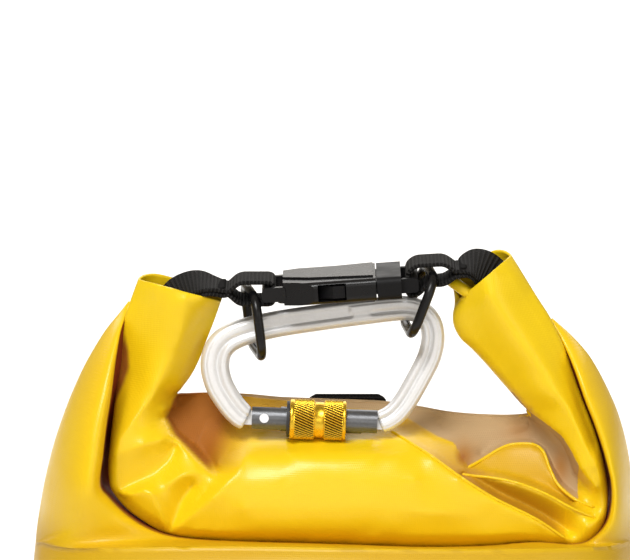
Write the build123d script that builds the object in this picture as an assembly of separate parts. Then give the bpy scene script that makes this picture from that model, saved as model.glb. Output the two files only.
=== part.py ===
"""Roll-top dry bag, closed, with a locking carabiner through the two rings of its closure.

Frame: millimetres, +Z up, origin at the centre of the base on the ground. The rolled mouth lies
across X, its two ends stand up and are buckled together over the middle, and the front is -Y.
"""
from build123d import *
import math
import os

# ---- driving dimensions, mm ---------------------------------------------------------------------
BODY_R = 138.0          # outside radius of the bag's wall
FABRIC = 1.0            # coated fabric thickness
WALL_TOP = 300.0        # height where the wall starts to be gathered towards the roll
FOLD_Z = 370.0          # height of the shelf that the roll rests on
CLOSURE_Y = -18.0       # the roll's ends, webbing, rings and carabiner hang in this plane
SKIRT_H = 42.0          # height of the reinforcing skirt round the base
SKIRT_T = 1.2
SEAM_ANGLE = -65.6      # the wall's overlap weld, degrees from +X
SEAM_W = 20.0
SEAM_T = 0.8
ROLL_T = 1.6            # outer turn of the roll: two plies of fabric
WEB_W = 27.0            # webbing width
WEB_T = 2.0             # one ply of webbing

BUCKLE_W = 44.0
BUCKLE_T = 10.5
BUCKLE_TILT = -4.0      # degrees about +Y: the right end is the higher one
FEMALE_BAR = (-30.0, 113.5)     # x and height over FOLD_Z of the webbing bar's middle
MALE_BAR = (37.6, 118.0)
BAR_X, BAR_Z = 3.4, 6.6         # section of both webbing bars

RING_WIRE = 2.2         # radius of the ring's wire
RING_HALF_W = 20.4      # from the ring's middle to the centre of its long sides
RING_CENTRES = 28.0     # from the top bar's centre to the bottom bar's centre
# Each ring's top bar (x, height over FOLD_Z), its yaw that sets the rear side further left, and its
# lean that sets the bottom bar further left, both in degrees.
RING_LEFT = (-37.4, 112.5), 8.0, -7.0
RING_RIGHT = (44.6, 121.6), 5.0, 21.0

CARABINER_TILT = 10.0   # the gate hangs forward of the spine by this angle
SPINE_H = 102.0         # in the carabiner's own plane, heights count from the fold line
SPINE_Z = 98.8          # height over FOLD_Z of the level SPINE_H
ROD_W, ROD_D = 11.6, 9.6        # carabiner rod section, in its plane and across it
GATE_R = 5.5
RIVET = (-30.8, 57.7)   # gate hinge, in the carabiner's plane
GATE_TIP = (20.6, 55.8)
GATE_BACK = 5.6         # how far the gate reaches behind its rivet
SLEEVE_R, SLEEVE_L = 9.0, 25.5
SLEEVE_START = 11.7     # from the rivet to the sleeve's rear end, backed off
SLEEVE_TRAVEL = 12.5

os.makedirs("parts", exist_ok=True)


def save(name, shape):
    """Writes one sub-part."""
    shape.label = name
    export_step(shape, f"parts/{name}.step")


# ---- the bag ------------------------------------------------------------------------------------
# Front outline of the gathered shoulder over FOLD_Z: up the left side, round the notch that the roll
# lies in, and down the right side.
EAR_OUTLINE = [
    (-138, 14), (-134, 38), (-126, 62), (-115, 83), (-98, 110),
    (-103, 80), (-108, 52), (-108, 24), (-94, 4), (-60, -3),
    (80, -3), (112, 2), (128, 24), (128, 46), (121, 64), (112, 88), (101, 108),
    (114, 90), (127, 67), (135, 44), (138, 14),
]
# Side outline of the same shoulder, y against height over FOLD_Z: the walls lean in to the closure.
SIDE_OUTLINE = [
    (-138, -66), (-133, -38), (-112, -12), (-82, 4), (-58, 26), (-40, 60), (-26, 100), (-21, 114),
    (-13, 114), (-8, 100), (6, 60), (34, 26), (74, 4), (112, -12), (133, -38), (138, -66),
]


def shoulder_block(bottom, inset):
    """The shoulder as a filled block, its skin moved in by inset."""
    front = [(-BODY_R, bottom)] + [(x, FOLD_Z + h) for x, h in EAR_OUTLINE] + [(BODY_R, bottom)]
    side = [(-BODY_R, bottom)] + [(y, FOLD_Z + h) for y, h in SIDE_OUTLINE] + [(BODY_R, bottom)]
    faces = []
    for plane, points in ((Plane.XZ, front), (Plane.YZ, side)):
        face = make_face(Polyline(*points, close=True))
        if inset:
            face = offset(face, -inset, kind=Kind.INTERSECTION)
        faces.append(plane * face)
    block = extrude(faces[0], 2 * BODY_R, both=True) & extrude(faces[1], 2 * BODY_R, both=True)
    drum = Pos(0, 0, bottom) * Cylinder(BODY_R - inset, 300, align=(Align.CENTER, Align.CENTER, Align.MIN))
    return block & drum


def bag_shoulder():
    below = 6.0
    return shoulder_block(WALL_TOP, 0) - shoulder_block(WALL_TOP - below, FABRIC)


def tube(r_out, r_in, z0, z1):
    ring = Circle(r_out) - Circle(r_in)
    return Pos(0, 0, z0) * extrude(ring, z1 - z0)


def seam_strip():
    """The wall's overlap weld: a strip of the ring just outside the wall."""
    ring = tube(BODY_R + SEAM_T, BODY_R, SKIRT_H + 2, WALL_TOP)
    cutter = Rot(0, 0, SEAM_ANGLE) * Pos(BODY_R, 0, WALL_TOP / 2) * Box(20, SEAM_W, 2 * WALL_TOP)
    return ring & cutter


# The roll, from its left end down, across and up to its right end:
# x, y, height over FOLD_Z, half width in the closure's plane, half depth across it.
ROLL = [
    (-66, -18, 113.5, 21, 15), (-72, -13, 100, 19.5, 10.5), (-77, -8, 85, 18.5, 7), (-83, -9, 62, 15, 8),
    (-85, -15, 41, 14, 14), (-70, -20, 24, 15, 18), (-45, -20, 21, 19, 21), (0, -20, 22, 21, 22),
    (50, -20, 21, 20, 21), (86, -20, 21, 15, 18), (107, -20, 37, 12, 14), (106, -19, 56, 13, 13),
    (97, -18, 71, 15, 12), (88, -18, 84, 17, 12.5), (79, -18, 99, 18, 14), (70, -18, 117, 16, 15),
]
CORE = (4, 10)          # first and last station of the strips rolled inside
CORE_TOP = FOLD_Z + 44  # the inner turns end at this height


def roll_planes(first, last, overrun):
    """A plane square to the roll's path at each station, the end ones moved out by overrun."""
    points = [Vector(x, y, FOLD_Z + h) for x, y, h, _, _ in ROLL]
    planes = []
    for i in range(first, last + 1):
        chord = points[min(i + 1, len(ROLL) - 1)] - points[max(i - 1, 0)]
        along = Vector(chord.X, 0, chord.Z).normalized()
        shift = {first: -overrun, last: overrun}.get(i, 0.0)
        across = Vector(0, 1, 0).cross(along)
        planes.append(Plane(points[i] + along * shift, x_dir=across, z_dir=along))
    return planes


def roll_tube(thinner, overrun=0.0):
    """The roll's filled shape with its skin moved in by thinner."""
    sections = []
    for plane, (_, _, _, half_w, half_d) in zip(roll_planes(0, len(ROLL) - 1, overrun), ROLL):
        sections.append(plane * Ellipse(half_w - thinner, half_d - thinner))
    return loft(sections)


def roll_strip(thick, side, first, last):
    """A flat strip in the roll's core, offset across it by side."""
    sections = []
    for plane, station in zip(roll_planes(first, last, 0.0), ROLL[first:last + 1]):
        width = min(WEB_W - 1, 2 * (station[3] - 7))
        sections.append(plane * Pos(0, side) * Rectangle(width, thick))
    return loft(sections)


def back_tab():
    """Black fabric tab standing behind the roll."""
    width, height, thick = 36.0, 50.0, 1.6
    rear = ROLL[7][1] + ROLL[7][4]
    tab = Box(width, thick, height, align=(Align.CENTER, Align.MIN, Align.MIN))
    tab = fillet(tab.edges().filter_by(Axis.Y).group_by(Axis.Z)[-1], 3)
    return Pos(7, rear + 0.6, FOLD_Z + 11) * tab


# ---- webbing ------------------------------------------------------------------------------------
def strap_lead(stations):
    """Webbing of two plies coming up out of the roll's end, through x, y, height and width."""
    path = [Vector(x, y, FOLD_Z + h) for x, y, h, _ in stations]
    sections = []
    for i, (point, station) in enumerate(zip(path, stations)):
        along = (path[min(i + 1, len(path) - 1)] - path[max(i - 1, 0)]).normalized()
        if i == len(path) - 1:
            along = Vector(math.copysign(1, along.X), 0, 0)
        plane = Plane(point, x_dir=Vector(0, 1, 0), z_dir=along)
        sections.append(plane * Rectangle(station[3], 2 * WEB_T))
    return loft(sections)


def web_loop(outline, join):
    """The loop round a webbing bar: a band of one ply, WEB_W wide, with a solid joint block."""
    face = make_face(FilletPolyline(*[(x, FOLD_Z + h) for x, h in outline], radius=2.6, close=True))
    band = offset(face, WEB_T / 2) - offset(face, -WEB_T / 2)
    x0, x1, h = join
    block = Pos((x0 + x1) / 2, FOLD_Z + h) * Rectangle(x1 - x0, 2 * WEB_T)
    solid = extrude(Plane.XZ * (band + block), WEB_W / 2, both=True)
    return Pos(0, CLOSURE_Y, 0) * solid


LEFT_LOOP = [(-47, 113.5), (-42, 118.5), (-26.4, 118.5), (-26.4, 108.5), (-42, 108.5)]
LEFT_JOIN = (-51.0, -45.6, 113.5)
LEFT_LEAD = [
    (-70, -14, 100, 13), (-68.5, -16, 107, 17), (-65, -18, 111.5, 20), (-60, -18, 113.3, 24),
    (-55, -18, 113.5, 27), (-51, -18, 113.5, 27),
]
RIGHT_LOOP = [
    (58, 121.6), (51, 126.4), (38, 125.6), (34.3, 123), (34.3, 112.6), (38.6, 112.6), (43.6, 117.5),
    (51, 117.5),
]
RIGHT_JOIN = (56.6, 62.0, 121.6)
RIGHT_LEAD = [
    (76, -18, 103, 13), (73, -18, 112, 17), (69, -18, 118, 21), (65, -18, 121, 25), (62, -18, 121.6, 27),
]


def bar_tack(x, h):
    """Dense stitching across the joint of the two plies."""
    return Pos(x, CLOSURE_Y, FOLD_Z + h + WEB_T + 0.3) * Box(3.2, WEB_W - 4, 0.6)


# ---- side-release buckle ------------------------------------------------------------------------
# The buckle is drawn level, with x as in the closure and z from its own mid-plane, then tilted.
MOUTH_X = 20.0
BUCKLE_MID = ((FEMALE_BAR[0] + MALE_BAR[0]) / 2, (FEMALE_BAR[1] + MALE_BAR[1]) / 2)


def place_buckle(shape):
    pivot = (BUCKLE_MID[0], CLOSURE_Y, FOLD_Z + BUCKLE_MID[1])
    level = Pos(-BUCKLE_MID[0], 0, 0) * shape
    return Pos(*pivot) * Rot(0, BUCKLE_TILT, 0) * level


def slab(x0, x1, y0, y1, z0, z1):
    return Pos((x0 + x1) / 2, (y0 + y1) / 2, (z0 + z1) / 2) * Box(x1 - x0, y1 - y0, z1 - z0)


def web_end(bar_x, inner_x, half_w):
    """A webbing bar with the two side arms that carry it, the slot open between them."""
    half_t = BAR_Z / 2
    arm = 3.2
    x0, x1 = sorted((bar_x, inner_x))
    frame = slab(x0, x1, -half_w, half_w, -half_t, half_t)
    rounded = fillet(frame.edges().filter_by(Axis.Y), 1.6)
    slot_near = bar_x + math.copysign(BAR_X / 2, inner_x - bar_x)
    gap = slab(*sorted((slot_near, inner_x)), -half_w + arm, half_w - arm, -9, 9)
    bar = slab(bar_x - BAR_X / 2, bar_x + BAR_X / 2, -half_w, half_w, -half_t, half_t)
    bar = fillet(bar.edges().filter_by(Axis.Y), 1.6)
    return (rounded - gap) + bar


def buckle_female():
    half_w, half_t = BUCKLE_W / 2, BUCKLE_T / 2
    housing_x = -22.0
    plan = Polyline(
        (housing_x, -16.5), (-8, -half_w), (MOUTH_X, -half_w), (MOUTH_X, half_w), (-8, half_w),
        (housing_x, 16.5), close=True,
    )
    housing = extrude(make_face(plan), half_t, both=True)
    housing = fillet(housing.edges().filter_by(Axis.X), 3.0)
    cavity = slab(-13, MOUTH_X + 1, -18.2, 18.2, -3.4, 3.4)
    windows = slab(-6.4, 6.4, -half_w - 1, half_w + 1, -3.9, 3.9)
    frame = web_end(FEMALE_BAR[0], housing_x + 1, 17.2)
    plate_plan = Polyline(
        (-25, -5), (-10, -12), (MOUTH_X - 1, -17), (MOUTH_X - 1, 17), (-10, 12), (-25, 5), close=True
    )
    plate = extrude(make_face(plate_plan), half_t + 0.9, both=True)
    plate = fillet(plate.edges().filter_by(Axis.Z).group_by(Axis.X)[0], 4.0)
    web_room = slab(-28.5, housing_x, -WEB_W / 2 - 0.4, WEB_W / 2 + 0.4, -half_t, half_t + 4)
    return place_buckle(housing + (frame + plate - web_room) - cavity - windows)


LATCH_ROOT = (MOUTH_X - 0.6, 13.2)      # where a latch arm bends, x and distance from the middle


def buckle_male():
    half_w, half_t = BUCKLE_W / 2, BUCKLE_T / 2
    x0, x1 = MOUTH_X + 0.5, 31.5
    block = slab(x0, x1, -half_w, half_w, -half_t, half_t)
    block = fillet(block.edges().filter_by(Axis.X), 3.0)
    guide = slab(-11, x0 + 1, -4, 4, -2.6, 2.6)
    roots = slab(MOUTH_X - 0.3, x0 + 1, -17.4, 17.4, -2.8, 2.8)
    frame = web_end(MALE_BAR[0], x1 - 1, 17.2)
    return place_buckle(block + guide + roots + frame)


def latch_arm(side):
    """One sprung arm of the male half, side -1 at the front and 1 at the rear."""
    root_x, root_y = LATCH_ROOT
    arm = Polyline(
        (root_x, root_y - 1.6), (root_x, root_y + 1.9), (7.0, root_y + 2.4), (5.8, 20.8), (0.5, 21.3),
        (-5.6, 17.2), (-9, 13.4), (-9, 11.2), (4, 11.6), close=True,
    )
    solid = extrude(make_face(arm), 2.8, both=True)
    solid = fillet(solid.edges().filter_by(Axis.Z).group_by(Axis.X)[0], 1.0)
    return place_buckle(solid if side > 0 else mirror(solid, Plane.XZ))


# ---- rings --------------------------------------------------------------------------------------
def ring(top, yaw, lean):
    """An oblong welded wire ring hanging from its top bar."""
    corner = 9.0
    half_w, drop = RING_HALF_W, RING_CENTRES
    corners = [(-half_w, 0), (half_w, 0), (half_w, -drop), (-half_w, -drop)]
    wire = Plane.YZ * FilletPolyline(*corners, radius=corner, close=True)
    start = wire.edges().sort_by(Axis.Z)[0]
    section = Plane(start @ 0, z_dir=start % 0) * Circle(RING_WIRE)
    body = sweep(section, path=wire)
    x, h = top
    return Pos(x, CLOSURE_Y, FOLD_Z + h) * Rot(0, 0, yaw) * Rot(0, lean, 0) * body


# ---- carabiner ----------------------------------------------------------------------------------
# Drawn in its own plane, x across and h as local y, then stood up and tilted by place_carabiner.
ROD_CORNERS = [
    (-38.2, 57.9), (-48.6, 66.6), (-53.7, 79.5), (-53.7, 88.5), (-47.5, 95.5), (-26.4, 100.2),
    (14.5, 106.4), (37.5, 108.4), (44.8, 103.8), (46.3, 92.5), (42.2, 80.5), (30.0, 59.6), (14, 55.8),
]
ROD_BEND = 10.0
GATE_LENGTH = math.dist(RIVET, GATE_TIP)
GATE_ANGLE = math.degrees(math.atan2(GATE_TIP[1] - RIVET[1], GATE_TIP[0] - RIVET[0]))


def place_carabiner(shape):
    up = Pos(0, CLOSURE_Y, FOLD_Z + SPINE_Z) * Rot(-CARABINER_TILT, 0, 0)
    return up * Rot(90, 0, 0) * Pos(0, -SPINE_H, 0) * shape


def along_gate(shape):
    """From a frame with the rivet at its origin and the gate along +X to the carabiner's plane."""
    return Pos(RIVET[0], RIVET[1], 0) * Rot(0, 0, GATE_ANGLE) * shape


def gate_cylinder(r, x0, x1):
    return Pos(x0, 0, 0) * Rot(0, 90, 0) * Cylinder(r, x1 - x0, align=(Align.CENTER, Align.CENTER, Align.MIN))


def carabiner_body():
    line = FilletPolyline(*ROD_CORNERS, radius=ROD_BEND)
    start = Plane(line @ 0, z_dir=line % 0, x_dir=Vector(0, 0, 1))
    rod = sweep(start * RectangleRounded(ROD_D, ROD_W, 3.8), path=line)
    clear_hinge = along_gate(Cylinder(8.3, 40) + slab(-5, 30, -9, 9, -9, 9))
    clear_tip = along_gate(slab(10, GATE_LENGTH + 0.5, -5.9, 20, -9, 9))
    rod = rod - clear_hinge - clear_tip
    tongue = slab(-12, 0, -3.2, 3.2, -2, 2) + Cylinder(3.2, 4)
    nose = slab(GATE_LENGTH - 6.5, GATE_LENGTH + 4, -3.2, 3.0, -2, 2)
    whole = rod + along_gate(tongue) + along_gate(nose)
    hole = Cylinder(1.35, 20)
    return place_carabiner(whole - along_gate(hole))


def carabiner_gate():
    barrel = gate_cylinder(GATE_R, -GATE_BACK, GATE_LENGTH) - gate_cylinder(3.4, 9.5, GATE_LENGTH - 9)
    hinge_slot = slab(-GATE_BACK - 1, 7.5, -8, 8, -2.35, 2.35)
    nose_slot = slab(GATE_LENGTH - 7.2, GATE_LENGTH + 1, -8, 3.5, -2.35, 2.35)
    spring_way = gate_cylinder(1.6, 5, 11)
    rivet_hole = Cylinder(1.31, 20)
    return place_carabiner(along_gate(barrel - hinge_slot - nose_slot - spring_way - rivet_hole))


def gate_rivet():
    shank = Cylinder(1.3, 2 * GATE_R)
    heads = Pos(0, 0, GATE_R) * Cylinder(2.1, 0.9) + Pos(0, 0, -GATE_R) * Cylinder(2.1, 0.9)
    heads = heads - gate_cylinder(GATE_R, -4, 4)
    return place_carabiner(along_gate(shank + heads))


def gate_spring():
    """Coil spring inside the gate, drawn as the tube that its turns fill."""
    return place_carabiner(along_gate(gate_cylinder(3.2, 15.5, GATE_LENGTH - 9.2) - gate_cylinder(2.2, 0, 60)))


def spring_plunger():
    """The pin that the spring pushes against the body's tongue."""
    return place_carabiner(along_gate(gate_cylinder(3.2, 12, 15.3) + gate_cylinder(1.45, 3.6, 12.5)))


def sleeve_cylinder(r, x0, x1):
    return gate_cylinder(r, SLEEVE_START + x0, SLEEVE_START + x1)


def lock_sleeve():
    """Knurled sleeve with a plain waist; its thread collar runs on the gate."""
    shell = sleeve_cylinder(SLEEVE_R, 0, SLEEVE_L) - sleeve_cylinder(7.7, -1, SLEEVE_L + 1)
    waist = sleeve_cylinder(12, 11.2, 14.3) - sleeve_cylinder(SLEEVE_R - 0.8, 0, SLEEVE_L)
    thread = sleeve_cylinder(7.8, 1.5, 7.5) - sleeve_cylinder(GATE_R + 0.06, 0, 9)
    return place_carabiner(along_gate(shell - waist + thread))


def sleeve_ring():
    """The dark stop ring that travels with the sleeve."""
    band = sleeve_cylinder(8.2, -1.5, -0.15) - sleeve_cylinder(GATE_R + 0.06, -3, 1)
    return place_carabiner(along_gate(band))


def main():
    save("base_panel", extrude(Circle(BODY_R - FABRIC), 1.2))
    save("bag_wall", tube(BODY_R, BODY_R - FABRIC, 0, WALL_TOP))
    save("base_skirt", tube(BODY_R + SKIRT_T, BODY_R, 0, SKIRT_H))
    save("side_seam_strip", seam_strip())
    save("bag_shoulder", bag_shoulder())
    save("rolled_collar", roll_tube(0) - roll_tube(ROLL_T, overrun=4))
    turns = roll_tube(ROLL_T + 0.6) - roll_tube(ROLL_T + 1.8, overrun=4)
    turns = turns & slab(-150, 150, -60, 60, 0, CORE_TOP)
    save("collar_inner_turns", turns)
    save("mouth_stiffener", roll_strip(1.2, -0.8, *CORE))
    save("mouth_webbing", roll_strip(2.0, 1.0, *CORE))
    save("back_tab", back_tab())
    save("strap_left", strap_lead(LEFT_LEAD) + web_loop(LEFT_LOOP, LEFT_JOIN))
    save("strap_right", strap_lead(RIGHT_LEAD) + web_loop(RIGHT_LOOP, RIGHT_JOIN))
    save("bar_tack_left", bar_tack(-49, LEFT_JOIN[2]))
    save("bar_tack_right", bar_tack(60, RIGHT_JOIN[2]))
    save("buckle_female", buckle_female())
    save("buckle_male", buckle_male())
    save("latch_arm_front", latch_arm(-1))
    save("latch_arm_rear", latch_arm(1))
    save("ring_left", ring(*RING_LEFT))
    save("ring_right", ring(*RING_RIGHT))
    save("carabiner_body", carabiner_body())
    save("carabiner_gate", carabiner_gate())
    save("gate_rivet", gate_rivet())
    save("gate_spring", gate_spring())
    save("spring_plunger", spring_plunger())
    save("lock_sleeve", lock_sleeve())
    save("sleeve_ring", sleeve_ring())


main()
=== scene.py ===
"""Roll-top dry bag: the fabric, webbing and metal as they look, in the CAD's frame, in metres."""
import bmesh
import bpy
import math
import numpy as np
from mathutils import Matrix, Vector


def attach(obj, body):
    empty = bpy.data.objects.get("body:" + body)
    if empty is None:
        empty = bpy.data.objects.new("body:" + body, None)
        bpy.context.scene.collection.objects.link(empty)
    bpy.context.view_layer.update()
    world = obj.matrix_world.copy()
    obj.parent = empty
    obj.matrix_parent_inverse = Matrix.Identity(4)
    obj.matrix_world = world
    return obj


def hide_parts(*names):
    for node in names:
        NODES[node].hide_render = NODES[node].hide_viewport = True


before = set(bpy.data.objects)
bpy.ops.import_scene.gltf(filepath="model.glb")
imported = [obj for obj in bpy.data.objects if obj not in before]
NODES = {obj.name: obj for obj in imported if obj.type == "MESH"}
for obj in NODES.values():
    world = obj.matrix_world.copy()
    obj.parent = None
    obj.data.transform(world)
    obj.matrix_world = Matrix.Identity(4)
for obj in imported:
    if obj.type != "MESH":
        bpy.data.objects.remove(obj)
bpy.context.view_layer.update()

# Sizes of the CAD, in mm.
FOLD_Z = 370.0          # height of the shelf that the roll rests on
CLOSURE_Y = -18.0       # the roll's ends, webbing, rings and the carabiner's spine hang in this plane
WEB_HALF = 13.5         # half the webbing's width
SPINE_H, SPINE_Z = 102.0, 98.8  # the spine's height in the carabiner's plane, and over the fold line
SLEEVE_START = 11.7     # from the rivet to the sleeve's rear end, backed off
# The same, in metres.
BODY_R = 0.138          # outside radius of the bag's wall
WALL_TOP = 0.3          # height where the wall starts to be gathered
SKIRT_H = 0.042

# Sight lines fall by 10 degrees, and a sight height is taken where its line crosses y = SIGHT_Y.
SIN10, COS10 = math.sin(math.radians(10)), math.cos(math.radians(10))
SIGHT_Y = -45.0


# ---- places ------------
def height(v, y):
    """Height over the fold line of the point at depth y whose sight height is v."""
    return (v - SIN10 * (y - SIGHT_Y)) / COS10


def sight(points):
    """x, v, y in mm as points of the row frame in metres."""
    p = np.asarray(points, float)
    return np.stack([p[..., 0], p[..., 2], height(p[..., 1], p[..., 2]) + FOLD_Z], -1) / 1000


def catmull(points, per):
    """A smooth line through the points, per steps to each gap."""
    p = np.asarray(points, float)
    p = np.vstack([2 * p[0] - p[1], p, 2 * p[-1] - p[-2]])
    out = []
    for i in range(1, len(p) - 2):
        a, b, c, d = p[i - 1], p[i], p[i + 1], p[i + 2]
        for k in range(per):
            t = k / per
            out.append(0.5 * (2 * b + (c - a) * t + (2 * a - 5 * b + 4 * c - d) * t * t
                              + (3 * b - a - 3 * c + d) * t ** 3))
    out.append(p[-2])
    return np.array(out)


# ---- meshes ------------
def mesh_object(name, points, faces, smooth=True):
    mesh = bpy.data.meshes.new(name)
    mesh.from_pydata([tuple(p) for p in np.asarray(points, float).reshape(-1, 3)], [], faces)
    mesh.validate()
    mesh.update()
    if smooth:
        mesh.shade_smooth()
    obj = bpy.data.objects.new(name, mesh)
    bpy.context.scene.collection.objects.link(obj)
    return obj


def grid_faces(rows, cols, wrap_rows=False, wrap_cols=False):
    """Quads of a grid whose points run row by row."""
    faces = []
    for i in range(rows if wrap_rows else rows - 1):
        for j in range(cols if wrap_cols else cols - 1):
            a, b = i * cols + j, i * cols + (j + 1) % cols
            c, d = ((i + 1) % rows) * cols + (j + 1) % cols, ((i + 1) % rows) * cols + j
            faces.append((a, b, c, d))
    return faces


def tube_faces(rows, cols):
    """Quads of a tube whose rings are its rows, and a face over each end."""
    last = (rows - 1) * cols
    ends = [tuple(range(cols)), tuple(last + k for k in reversed(range(cols)))]
    return grid_faces(rows, cols, wrap_cols=True) + ends


def unit(vectors):
    return vectors / np.linalg.norm(vectors, axis=1)[:, None]


def paint(obj, values, name="shade"):
    """Stores each point's painted shade, or how much of its shaded lining shows, from 0 to 1, for its
    material.
    """
    layer = obj.data.attributes.new(name, "FLOAT", "POINT")
    layer.data.foreach_set("value", np.asarray(values, float))


def face_out(obj):
    """Turns all faces outwards."""
    bm = bmesh.new()
    bm.from_mesh(obj.data)
    bmesh.ops.recalc_face_normals(bm, faces=bm.faces)
    bm.to_mesh(obj.data)
    bm.free()
    return obj


# ---- the depth of folded fabric over the sight plane ------------
class Depth:
    """A fabric surface stretched through depth lines: y over x and v, as stiff cloth would lie."""

    def __init__(self, lines, low, high, step=1.0, tension=0.06):
        self.low, self.step = np.array(low, float), step
        self.shape = tuple(int(round((h - l) / step)) + 1 for l, h in zip(low, high))
        field = None
        for k in (8, 4, 2, 1):
            shape = tuple((n - 1) // k + 1 for n in self.shape)
            pins, weight = self.rasterise(lines, shape, step * k)
            start = np.full(shape, pins[weight > 0].mean()) if field is None else self.enlarge(field, shape)
            field = self.relax(start, pins, weight, tension * k * k, 500)
        self.field = field

    def rasterise(self, lines, shape, step):
        total, weight = np.zeros(shape), np.zeros(shape)
        for line in lines:
            p = np.asarray(line, float)
            for a, b in zip(p[:-1], p[1:]):
                n = max(2, int(math.dist(a[:2], b[:2]) / step * 2) + 1)
                for t in np.linspace(0, 1, n):
                    q = a + (b - a) * t
                    i, j = (int(round(c)) for c in (q[:2] - self.low) / step)
                    if 0 <= i < shape[0] and 0 <= j < shape[1]:
                        total[i, j] += q[2]
                        weight[i, j] += 1
        pins = np.where(weight > 0, total / np.maximum(weight, 1), 0)
        return pins, np.where(weight > 0, 8.0, 0.0)

    @staticmethod
    def enlarge(field, shape):
        out = np.repeat(np.repeat(field, 2, 0), 2, 1)
        out = np.pad(out, [(0, max(0, s - o)) for s, o in zip(shape, out.shape)], "edge")
        return out[:shape[0], :shape[1]]

    @staticmethod
    def laplace(f):
        g = np.pad(f, 1, "edge")
        return g[:-2, 1:-1] + g[2:, 1:-1] + g[1:-1, :-2] + g[1:-1, 2:] - 4 * f

    def relax(self, f, pins, weight, tension, turns):
        def apply(g):
            lap = self.laplace(g)
            return self.laplace(lap) - tension * lap + weight * g
        r = weight * pins - apply(f)
        scale = 1 / (20 + weight)
        z = scale * r
        d = z.copy()
        rz = (r * z).sum()
        for _ in range(turns):
            ad = apply(d)
            step = rz / max((d * ad).sum(), 1e-30)
            f = f + step * d
            r = r - step * ad
            z = scale * r
            new = (r * z).sum()
            if new < 1e-7:
                break
            d = z + new / rz * d
            rz = new
        return f

    def at(self, x, v):
        gx = np.clip((x - self.low[0]) / self.step, 0, self.shape[0] - 1.001)
        gv = np.clip((v - self.low[1]) / self.step, 0, self.shape[1] - 1.001)
        i, j = gx.astype(int), gv.astype(int)
        a, b = gx - i, gv - j
        f = self.field
        return ((1 - a) * (1 - b) * f[i, j] + a * (1 - b) * f[i + 1, j]
                + (1 - a) * b * f[i, j + 1] + a * b * f[i + 1, j + 1])


# ---- the rolled mouth ------------
# Ribs across the roll from its left mouth, down, across and up to its right mouth. Each has its outer
# and inner edge as x, v, y in mm, and how far the back bulges.
ROLL_RIBS = [
    ((-88.1, 121.0, -18), (-50.4, 110.8, -18), 13), ((-91.8, 110.8, -18), (-53.8, 101.5, -16), 11),
    ((-94.6, 101.5, -18), (-57.5, 92.2, -13), 9), ((-96.5, 87.0, -16), (-60.3, 84.8, -12), 8),
    ((-97.9, 74.0, -17), (-64.0, 77.4, -12), 7), ((-99.2, 63.0, -20), (-68.7, 70.9, -10), 6),
    ((-100.4, 53.0, -24), (-70.5, 68.6, -3), 4), ((-101.2, 45.0, -27), (-65.0, 68.8, 0), 2),
    ((-101.8, 38.4, -29), (-59.0, 69.0, 0), 1), ((-101.6, 31.0, -31), (-53.0, 69.0, 0), 0),
    ((-100.2, 25.0, -33), (-47.0, 68.8, 0), 0), ((-93.7, 16.8, -34), (-41.0, 68.5, 0), 0),
    ((-85.4, 10.6, -35), (-35.0, 68.1, 0), 0), ((-77.0, 6.0, -36), (-29.0, 67.5, 0), 0),
    ((-66.0, 3.4, -37), (-23.5, 67.0, 0), 0), ((-50.0, 1.8, -38), (-16.0, 66.7, 0), 0),
    ((-30.0, 1.2, -39), (-8.0, 66.4, 0), 0), ((-10.0, 0.3, -39), (2.0, 66.0, 0), 0),
    ((15.0, -1.0, -39), (14.0, 65.6, 0), 0), ((35.0, -1.9, -39), (26.0, 64.9, 0), 0),
    ((55.0, -1.9, -39), (40.0, 62.8, 0), 0), ((71.5, -0.5, -39), (52.0, 60.6, 0), 0),
    ((82.6, 1.0, -39), (62.0, 59.5, 0), 0), ((92.0, 0.8, -39), (71.0, 59.0, 0), 0),
    ((102.0, -0.3, -39), (80.0, 58.8, 0), 0), ((112.0, -0.5, -38), (86.0, 59.1, -1), 1),
    ((120.0, 4.0, -36), (89.0, 59.5, -3), 3), ((124.5, 12.0, -34), (90.5, 60.0, -8), 5),
    ((125.5, 24.0, -32), (89.0, 61.4, -13), 7), ((123.5, 38.0, -29), (86.0, 64.3, -15), 8),
    ((119.5, 52.3, -26), (82.6, 68.1, -16), 9), ((114.1, 66.2, -23), (76.1, 75.5, -16), 9),
    ((109.5, 79.2, -20), (69.6, 82.9, -16), 10), ((105.6, 90.4, -19), (63.6, 89.2, -16), 10),
    ((99.7, 102.9, -18), (58.5, 94.0, -16), 11), ((93.5, 112.6, -18), (55.4, 100.0, -17), 12),
    ((87.5, 122.3, -18), (55.2, 106.5, -18), 13), ((81.5, 131.9, -18), (58.0, 112.2, -18), 13),
]
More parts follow.
